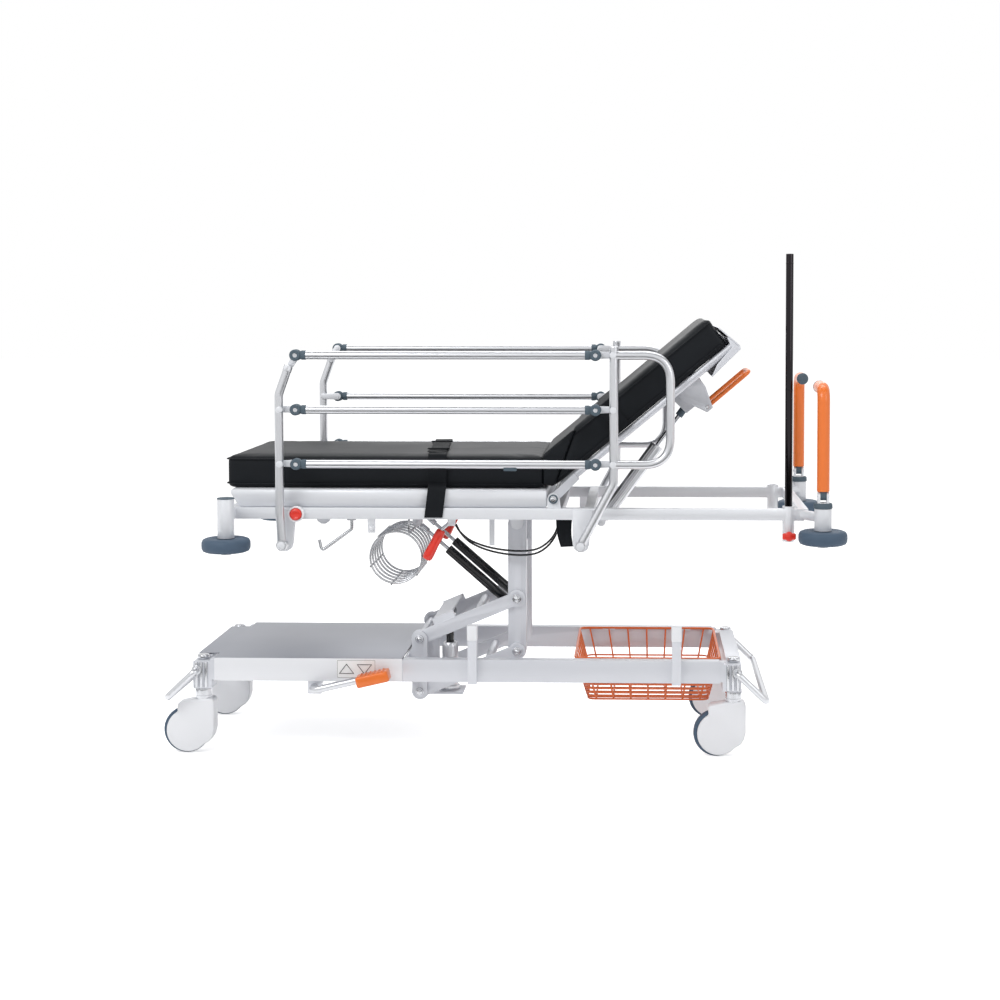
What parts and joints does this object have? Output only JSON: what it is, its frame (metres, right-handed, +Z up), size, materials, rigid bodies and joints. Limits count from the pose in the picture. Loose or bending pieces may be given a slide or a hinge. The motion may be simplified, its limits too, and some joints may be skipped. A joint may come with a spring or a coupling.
{
  "type": "pediatric transport stretcher",
  "caption": "Wheeled patient transport stretcher for children with a pumped lift, tilting platform, raised backrest and folding side rails.",
  "frame": {"origin": "middle of the overall length and width, on the floor", "axes": "+X to the head end, +Y to the far side, +Z up"},
  "size_m": [1.825, 0.795, 1.344],
  "materials": {
    "painted_steel": "satin",
    "cover_paint": "satin",
    "bright_steel": "satin",
    "black_spring_paint": "semi gloss",
    "blue_grey_plastic": "matt",
    "white_plastic": "satin",
    "dark_tyre": "matt",
    "orange_plastic": "satin",
    "red_plastic": "satin",
    "mattress_cover": "coated cloth",
    "strap_webbing": "woven"
  },
  "bodies": {
    "base": {"base_frame": "painted_steel", "base_cover": "cover_paint", "storage_basket": "orange_plastic", "jack_body": "bright_steel"},
    "jack_ram": {"jack_ram": "black_spring_paint"},
    "brake_bar_foot": {"brake_bar_foot": "bright_steel"},
    "brake_bar_head": {"brake_bar_head": "bright_steel"},
    "pump_lever": {"pump_lever": "bright_steel", "pump_pedal_pad": "orange_plastic"},
    "upper_arms": {"upper_lift_arms": "painted_steel"},
    "lower_arms": {"lower_lift_arms": "painted_steel"},
    "columns": {"lift_columns": "painted_steel"},
    "platform": {"under_frame": "painted_steel", "deck_panel": "painted_steel", "seat_mattress": "mattress_cover", "seat_strap": "strap_webbing", "backrest_hinge_rod": "bright_steel", "oxygen_holder": "bright_steel", "bag_hook": "bright_steel", "control_cable": "black_spring_paint"},
    "backrest": {"backrest_frame": "painted_steel", "back_mattress": "mattress_cover", "back_strap": "strap_webbing"},
    "release_handle": {"backrest_release_handle": "orange_plastic"},
    "prop_cylinder": {"back_prop_cylinder": "bright_steel"},
    "prop_rod": {"back_prop_rod": "blue_grey_plastic"},
    "infusion_pole": {"infusion_pole": "bright_steel"},
    "pole_knob": {"pole_knob": "red_plastic"},
    "castor_foot_near": {"castor_hood_foot_near": "white_plastic"},
    "wheel_foot_near": {"castor_wheel_foot_near": "dark_tyre"},
    "castor_foot_far": {"castor_hood_foot_far": "white_plastic"},
    "wheel_foot_far": {"castor_wheel_foot_far": "dark_tyre"},
    "castor_head_near": {"castor_hood_head_near": "white_plastic"},
    "wheel_head_near": {"castor_wheel_head_near": "dark_tyre"},
    "castor_head_far": {"castor_hood_head_far": "white_plastic"},
    "wheel_head_far": {"castor_wheel_head_far": "dark_tyre"},
    "tilt_cylinder_near": {"tilt_spring_cylinder_near": "black_spring_paint"},
    "tilt_rod_near": {"tilt_spring_rod_near": "bright_steel"},
    "tilt_cylinder_far": {"tilt_spring_cylinder_far": "black_spring_paint"},
    "tilt_rod_far": {"tilt_spring_rod_far": "bright_steel"},
    "rail_post_near": {"foot_post_near": "bright_steel"},
    "rail_hoop_near": {"head_hoop_near": "bright_steel"},
    "top_rail_near": {"top_rail_near": "bright_steel"},
    "middle_rail_near": {"middle_rail_near": "bright_steel"},
    "low_rail_near": {"low_rail_near": "bright_steel"},
    "latch_near": {"latch_button_near": "red_plastic"},
    "push_handle_near": {"push_handle_near": "orange_plastic"},
    "tilt_lever_near": {"tilt_lever_near": "red_plastic"},
    "rail_post_far": {"foot_post_far": "bright_steel"},
    "rail_hoop_far": {"head_hoop_far": "bright_steel"},
    "top_rail_far": {"top_rail_far": "bright_steel"},
    "middle_rail_far": {"middle_rail_far": "bright_steel"},
    "low_rail_far": {"low_rail_far": "bright_steel"},
    "latch_far": {"latch_button_far": "red_plastic"},
    "push_handle_far": {"push_handle_far": "orange_plastic"},
    "tilt_lever_far": {"tilt_lever_far": "red_plastic"},
    "bumper_foot_near": {"bumper_wheel_foot_near": "blue_grey_plastic"},
    "bumper_foot_far": {"bumper_wheel_foot_far": "blue_grey_plastic"},
    "bumper_head_near": {"bumper_wheel_head_near": "blue_grey_plastic"},
    "bumper_head_far": {"bumper_wheel_head_far": "blue_grey_plastic"}
  },
  "joints": [
    {"name": "castor_swivel_foot_near", "type": "hinge", "parent": "base", "child": "castor_foot_near", "pos_m": [-0.805, -0.21, 0.146], "axis": [0, 0, 1], "continuous": true},
    {"name": "wheel_spin_foot_near", "type": "hinge", "parent": "castor_foot_near", "child": "wheel_foot_near", "pos_m": [-0.85, -0.21, 0.0625], "axis": [0, 1, 0], "continuous": true},
    {"name": "castor_swivel_foot_far", "type": "hinge", "parent": "base", "child": "castor_foot_far", "pos_m": [-0.805, 0.21, 0.146], "axis": [0, 0, 1], "continuous": true},
    {"name": "wheel_spin_foot_far", "type": "hinge", "parent": "castor_foot_far", "child": "wheel_foot_far", "pos_m": [-0.85, 0.21, 0.0625], "axis": [0, 1, 0], "continuous": true},
    {"name": "castor_swivel_head_near", "type": "hinge", "parent": "base", "child": "castor_head_near", "pos_m": [0.626, -0.21, 0.146], "axis": [0, 0, 1], "continuous": true},
    {"name": "wheel_spin_head_near", "type": "hinge", "parent": "castor_head_near", "child": "wheel_head_near", "pos_m": [0.581, -0.21, 0.0625], "axis": [0, 1, 0], "continuous": true},
    {"name": "castor_swivel_head_far", "type": "hinge", "parent": "base", "child": "castor_head_far", "pos_m": [0.626, 0.21, 0.146], "axis": [0, 0, 1], "continuous": true},
    {"name": "wheel_spin_head_far", "type": "hinge", "parent": "castor_head_far", "child": "wheel_head_far", "pos_m": [0.581, 0.21, 0.0625], "axis": [0, 1, 0], "continuous": true},
    {"name": "brake_foot", "type": "hinge", "parent": "base", "child": "brake_bar_foot", "pos_m": [-0.814, 0, 0.232], "axis": [0, -1, 0], "range_deg": [-14, 4]},
    {"name": "brake_head", "type": "hinge", "parent": "base", "child": "brake_bar_head", "pos_m": [0.635, 0, 0.232], "axis": [0, -1, 0], "range_deg": [-4, 14]},
    {"name": "pump_pedal", "type": "hinge", "parent": "base", "child": "pump_lever", "pos_m": [-0.497, -0.29, 0.186], "axis": [0, 1, 0], "range_deg": [0, 16], "stiffness_Nm_per_rad": 8, "springref_deg": -34.38},
    {"name": "lift", "type": "hinge", "parent": "base", "child": "upper_arms", "pos_m": [-0.2265, 0, 0.2986], "axis": [0, -1, 0], "range_deg": [-26, 27]},
    {"name": "lower_arm", "type": "hinge", "parent": "base", "child": "lower_arms", "pos_m": [-0.2265, 0, 0.153], "axis": [0, -1, 0], "range_deg": [-26, 27]},
    {"name": "column_level", "type": "hinge", "parent": "upper_arms", "child": "columns", "pos_m": [0.03965, 0, 0.40993], "axis": [0, -1, 0], "range_deg": [-27, 26]},
    {"name": "jack_lift", "type": "slide", "parent": "base", "child": "jack_ram", "axis": [0, 0, 1], "range_m": [-0.0442, 0.0458]},
    {"name": "platform_tilt", "type": "hinge", "parent": "columns", "child": "platform", "pos_m": [0.03965, 0, 0.616], "axis": [0, -1, 0], "range_deg": [-7, 7]},
    {"name": "tilt_spring_turn_near", "type": "hinge", "parent": "columns", "child": "tilt_cylinder_near", "pos_m": [0.02, -0.08, 0.383], "axis": [0, -1, 0], "range_deg": [-4.68, 4.68]},
    {"name": "tilt_spring_reach_near", "type": "slide", "parent": "tilt_cylinder_near", "child": "tilt_rod_near", "axis": [-0.7506, 0, 0.6608], "range_m": [-0.0249, 0.0249]},
    {"name": "tilt_spring_turn_far", "type": "hinge", "parent": "columns", "child": "tilt_cylinder_far", "pos_m": [0.02, 0.08, 0.383], "axis": [0, -1, 0], "range_deg": [-4.68, 4.68]},
    {"name": "tilt_spring_reach_far", "type": "slide", "parent": "tilt_cylinder_far", "child": "tilt_rod_far", "axis": [-0.7506, 0, 0.6608], "range_m": [-0.0249, 0.0249]},
    {"name": "backrest", "type": "hinge", "parent": "platform", "child": "backrest", "pos_m": [0.1454, 0, 0.697], "axis": [0, -1, 0], "range_deg": [-39.6, 20.4]},
    {"name": "prop_turn", "type": "hinge", "parent": "platform", "child": "prop_cylinder", "pos_m": [0.268, -0.045, 0.61], "axis": [0, -1, 0], "range_deg": [-42.95, 22.37]},
    {"name": "prop_reach", "type": "slide", "parent": "prop_cylinder", "child": "prop_rod", "axis": [0.5884, 0, 0.8085], "range_m": [-0.0984, 0.0517]},
    {"name": "release_squeeze", "type": "hinge", "parent": "backrest", "child": "release_handle", "pos_m": [0.55787, 0, 0.93011], "axis": [0, -1, 0], "range_deg": [0, 8], "stiffness_Nm_per_rad": 1.2, "springref_deg": -8.59},
    {"name": "pole_knob_turn", "type": "hinge", "parent": "platform", "child": "pole_knob", "pos_m": [0.766, -0.2785, 0.603], "axis": [0, 1, 0], "range_deg": [-180, 180]},
    {"name": "pole_raise", "type": "slide", "parent": "platform", "child": "infusion_pole", "axis": [0, 0, 1], "range_m": [0, 0.07]},
    {"name": "rail_fold_near", "type": "hinge", "parent": "platform", "child": "rail_post_near", "pos_m": [-0.566, -0.315, 0.579], "axis": [0, 1, 0], "range_deg": [0, 63]},
    {"name": "rail_hoop_fold_near", "type": "hinge", "parent": "platform", "child": "rail_hoop_near", "pos_m": [0.219, -0.315, 0.579], "axis": [0, 1, 0], "range_deg": [0, 63]},
    {"name": "top_rail_level_near", "type": "hinge", "parent": "rail_post_near", "child": "top_rail_near", "pos_m": [-0.527, -0.315, 1.079], "axis": [0, 1, 0], "range_deg": [-63, 0]},
    {"name": "middle_rail_level_near", "type": "hinge", "parent": "rail_post_near", "child": "middle_rail_near", "pos_m": [-0.527, -0.315, 0.936], "axis": [0, 1, 0], "range_deg": [-63, 0]},
    {"name": "low_rail_level_near", "type": "hinge", "parent": "rail_post_near", "child": "low_rail_near", "pos_m": [-0.527, -0.315, 0.793], "axis": [0, 1, 0], "range_deg": [-63, 0]},
    {"name": "latch_press_near", "type": "slide", "parent": "platform", "child": "latch_near", "axis": [0, 1, 0], "range_m": [0, 0.005], "stiffness_N_per_m": 400, "springref_m": -0.004},
    {"name": "push_fold_near", "type": "hinge", "parent": "platform", "child": "push_handle_near", "pos_m": [0.849, -0.335, 0.715], "axis": [-1, 0, 0], "range_deg": [0, 90]},
    {"name": "tilt_squeeze_near", "type": "hinge", "parent": "platform", "child": "tilt_lever_near", "pos_m": [-0.13, -0.205, 0.63], "axis": [0, -1, 0], "range_deg": [0, 12], "stiffness_Nm_per_rad": 0.8, "springref_deg": -14.32},
    {"name": "rail_fold_far", "type": "hinge", "parent": "platform", "child": "rail_post_far", "pos_m": [-0.566, 0.315, 0.579], "axis": [0, 1, 0], "range_deg": [0, 63]},
    {"name": "rail_hoop_fold_far", "type": "hinge", "parent": "platform", "child": "rail_hoop_far", "pos_m": [0.219, 0.315, 0.579], "axis": [0, 1, 0], "range_deg": [0, 63]},
    {"name": "top_rail_level_far", "type": "hinge", "parent": "rail_post_far", "child": "top_rail_far", "pos_m": [-0.527, 0.315, 1.079], "axis": [0, 1, 0], "range_deg": [-63, 0]},
    {"name": "middle_rail_level_far", "type": "hinge", "parent": "rail_post_far", "child": "middle_rail_far", "pos_m": [-0.527, 0.315, 0.936], "axis": [0, 1, 0], "range_deg": [-63, 0]},
    {"name": "low_rail_level_far", "type": "hinge", "parent": "rail_post_far", "child": "low_rail_far", "pos_m": [-0.527, 0.315, 0.793], "axis": [0, 1, 0], "range_deg": [-63, 0]},
    {"name": "latch_press_far", "type": "slide", "parent": "platform", "child": "latch_far", "axis": [0, -1, 0], "range_m": [0, 0.005], "stiffness_N_per_m": 400, "springref_m": -0.004},
    {"name": "push_fold_far", "type": "hinge", "parent": "platform", "child": "push_handle_far", "pos_m": [0.849, 0.335, 0.715], "axis": [1, 0, 0], "range_deg": [0, 90]},
    {"name": "tilt_squeeze_far", "type": "hinge", "parent": "platform", "child": "tilt_lever_far", "pos_m": [-0.13, 0.205, 0.63], "axis": [0, -1, 0], "range_deg": [0, 12], "stiffness_Nm_per_rad": 0.8, "springref_deg": -14.32},
    {"name": "bumper_roll_foot_near", "type": "hinge", "parent": "platform", "child": "bumper_foot_near", "pos_m": [-0.71, -0.335, 0.582], "axis": [0, 0, 1], "continuous": true},
    {"name": "bumper_roll_foot_far", "type": "hinge", "parent": "platform", "child": "bumper_foot_far", "pos_m": [-0.71, 0.335, 0.582], "axis": [0, 0, 1], "continuous": true},
    {"name": "bumper_roll_head_near", "type": "hinge", "parent": "platform", "child": "bumper_head_near", "pos_m": [0.849, -0.335, 0.607], "axis": [0, 0, 1], "continuous": true},
    {"name": "bumper_roll_head_far", "type": "hinge", "parent": "platform", "child": "bumper_head_far", "pos_m": [0.849, 0.335, 0.607], "axis": [0, 0, 1], "continuous": true}
  ],
  "couplings": [
    {"joint": "lower_arm", "follows": "lift", "ratio": 1},
    {"joint": "column_level", "follows": "lift", "ratio": -1},
    {"joint": "jack_lift", "follows": "lift", "m_per_rad": 0.092914},
    {"joint": "tilt_spring_turn_near", "follows": "platform_tilt", "ratio": 0.59712},
    {"joint": "tilt_spring_reach_near", "follows": "platform_tilt", "m_per_rad": -0.18774},
    {"joint": "tilt_spring_turn_far", "follows": "platform_tilt", "ratio": 0.59712},
    {"joint": "tilt_spring_reach_far", "follows": "platform_tilt", "m_per_rad": -0.18774},
    {"joint": "prop_turn", "follows": "backrest", "ratio": 1.072},
    {"joint": "prop_reach", "follows": "backrest", "m_per_rad": 0.1395},
    {"joint": "rail_hoop_fold_near", "follows": "rail_fold_near", "ratio": 1},
    {"joint": "top_rail_level_near", "follows": "rail_fold_near", "ratio": -1},
    {"joint": "middle_rail_level_near", "follows": "rail_fold_near", "ratio": -1},
    {"joint": "low_rail_level_near", "follows": "rail_fold_near", "ratio": -1},
    {"joint": "rail_hoop_fold_far", "follows": "rail_fold_far", "ratio": 1},
    {"joint": "top_rail_level_far", "follows": "rail_fold_far", "ratio": -1},
    {"joint": "middle_rail_level_far", "follows": "rail_fold_far", "ratio": -1},
    {"joint": "low_rail_level_far", "follows": "rail_fold_far", "ratio": -1}
  ]
}
